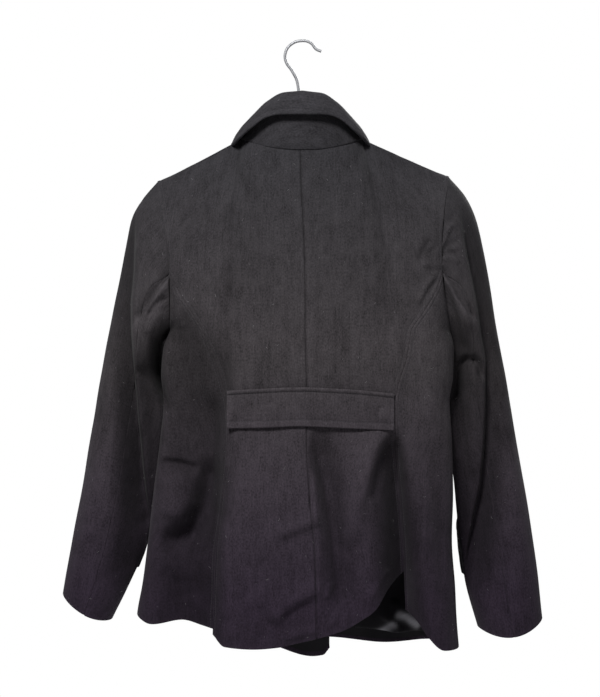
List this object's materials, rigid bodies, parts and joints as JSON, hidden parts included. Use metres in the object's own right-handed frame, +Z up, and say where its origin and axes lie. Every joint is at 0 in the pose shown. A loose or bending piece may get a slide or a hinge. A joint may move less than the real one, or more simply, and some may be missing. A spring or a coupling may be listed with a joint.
{
  "type": "coat on a hanger",
  "caption": "Charcoal wool double-breasted coat with a folded collar and a half belt across the back, hanging closed and empty on a plain hanger.",
  "frame": {"origin": "inside top of the hanger's hook, where it bears on a rail", "axes": "+Z up, +Y towards the coat's front, -Y the pictured back, +X to the wearer's right"},
  "size_m": [0.6875, 0.2032, 0.883],
  "materials": {
    "wool": "matte melton wool, charcoal",
    "lining": "satin, black",
    "button": "polished, black",
    "steel": "plated wire",
    "hanger": "satin, black"
  },
  "bodies": {
    "root": {"back_left": "wool", "back_right": "wool", "side_back_left": "wool", "side_back_right": "wool", "front_left": "wool", "front_right": "wool", "lapel_left": "wool", "lapel_right": "wool", "upper_sleeve_left": "wool", "upper_sleeve_right": "wool", "under_sleeve_left": "wool", "under_sleeve_right": "wool", "collar": "wool", "half_belt": "wool", "hem_lining": "lining", "button_1": "button", "button_2": "button", "button_3": "button", "button_4": "button", "button_5": "button", "button_6": "button", "hanger_hook": "steel", "hanger_bar": "hanger"}
  },
  "joints": []
}
